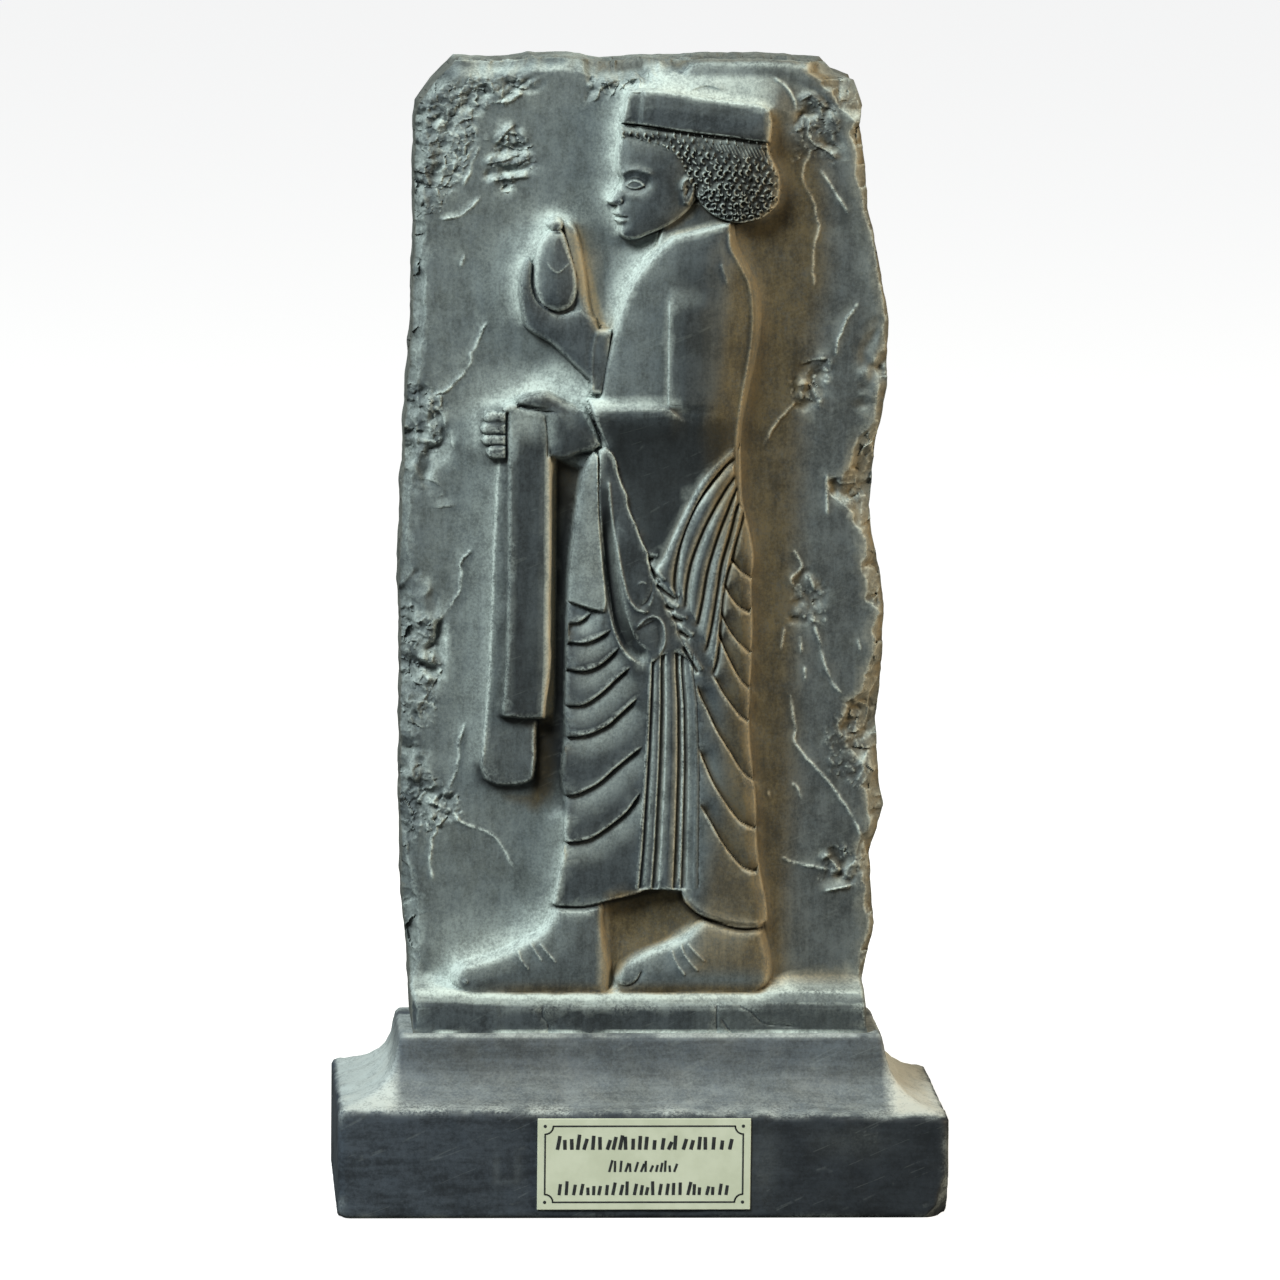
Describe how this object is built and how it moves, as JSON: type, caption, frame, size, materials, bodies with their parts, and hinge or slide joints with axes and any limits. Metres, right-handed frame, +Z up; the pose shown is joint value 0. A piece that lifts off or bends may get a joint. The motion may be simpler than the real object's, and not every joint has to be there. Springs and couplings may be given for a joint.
{
  "type": "persian stone relief plaque",
  "caption": "Standing table plaque: a rough dark stone slab with an attendant carved in low relief, on a plinth with a hollow moulding.",
  "frame": {"origin": "under the middle of the plinth's underside", "axes": "+Z up, -Y the carved front that faces the viewer, +X to the right as the front is seen"},
  "size_m": [0.152, 0.0706, 0.2855],
  "materials": {
    "plinth_stone": "satin, fine grained, pale worn edges",
    "relief_stone": "semi-matte, pale edges, earthy hollows",
    "printed_plate": "semi-gloss print"
  },
  "bodies": {
    "root": {"plinth": "plinth_stone", "relief_slab": "relief_stone", "name_plate": "printed_plate"}
  },
  "joints": []
}
